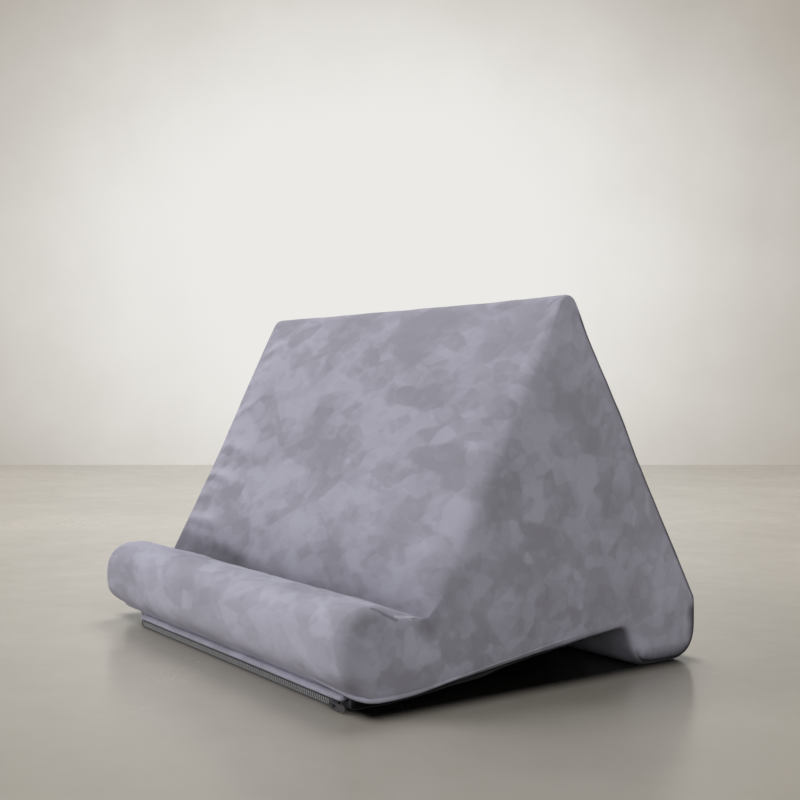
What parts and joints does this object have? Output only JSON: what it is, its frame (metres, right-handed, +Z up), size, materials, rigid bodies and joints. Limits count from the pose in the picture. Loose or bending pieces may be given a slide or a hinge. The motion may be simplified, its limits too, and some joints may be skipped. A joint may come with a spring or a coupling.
{
  "type": "tablet cushion stand",
  "caption": "Long foam wedge in a sewn plush cover, with a front lip that leaves a groove for a tablet, a rear foot and a zip under the lip.",
  "frame": {"origin": "on the floor, below the middle of the cushion's overall length and depth", "axes": "+X along the cushion towards its right end seen from the front, +Y from the front lip to the rear foot, +Z up"},
  "size_m": [0.313, 0.238, 0.2016],
  "materials": {
    "plush": "short crushed pile, mottled grey with a little violet",
    "under_cloth": "darker flat cloth on the underside",
    "foam": "open soft foam, pale, not seen when the cover is closed",
    "zip_tape": "woven tape",
    "zip_teeth": "moulded coil, grey",
    "zip_metal": "small dark painted castings"
  },
  "bodies": {
    "cushion": {"foam_wedge": "foam", "foam_front_roll": "foam", "foam_rear_roll": "foam", "cover_front_panel": "plush", "cover_lip_panel": "plush", "cover_underside_panel": "under_cloth", "cover_foot_panel": "plush", "cover_back_panel": "plush", "cover_end_panel_left": "plush", "cover_end_panel_right": "plush", "zip_tape_upper": "zip_tape", "zip_tape_lower": "zip_tape", "zip_welt": "plush", "zip_teeth_upper": "zip_teeth", "zip_teeth_lower": "zip_teeth", "zip_top_stop_upper": "zip_metal", "zip_top_stop_lower": "zip_metal", "zip_bottom_stop": "zip_metal"},
    "slider": {"zip_slider": "zip_metal"},
    "pull": {"zip_pull": "zip_metal"}
  },
  "joints": [
    {"name": "zip_slide", "type": "slide", "parent": "cushion", "child": "slider", "axis": [1, 0, 0], "range_m": [-0.2299, 0]},
    {"name": "pull_turn", "type": "hinge", "parent": "slider", "child": "pull", "pos_m": [0.12975, -0.1104, 0.0024], "axis": [0, 0, -1], "range_deg": [0, 170]}
  ]
}
